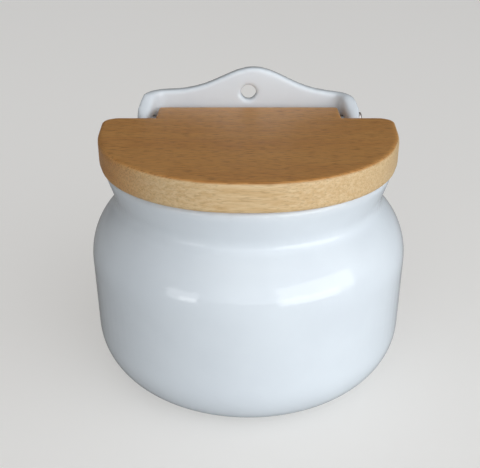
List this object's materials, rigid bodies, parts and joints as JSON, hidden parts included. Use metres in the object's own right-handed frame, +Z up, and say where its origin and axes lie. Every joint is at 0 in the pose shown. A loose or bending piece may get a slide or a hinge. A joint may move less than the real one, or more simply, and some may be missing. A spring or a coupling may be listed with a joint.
{
  "type": "salt box",
  "caption": "Wall-hung salt box: a round-bellied glazed ceramic pot with a flat back plate and hanging hole, and a wooden lid that swings up on a steel pin.",
  "frame": {"origin": "on the ground under the middle of the box's bounding box", "axes": "+Z up, +Y towards the wall, +X to the right of someone who faces the front"},
  "size_m": [0.16, 0.1334, 0.1464],
  "materials": {
    "glaze": "clear gloss glaze over a white body",
    "lid_wood": "satin varnish, grain along the hinge",
    "pin_steel": "bright"
  },
  "bodies": {
    "pot": {"salt_pot": "glaze"},
    "lid": {"lid": "lid_wood", "hinge_pin": "pin_steel"}
  },
  "joints": [
    {"name": "lid_hinge", "type": "hinge", "parent": "pot", "child": "lid", "pos_m": [0, 0.05335, 0.1206], "axis": [-1, 0, 0], "range_deg": [0, 92]}
  ]
}
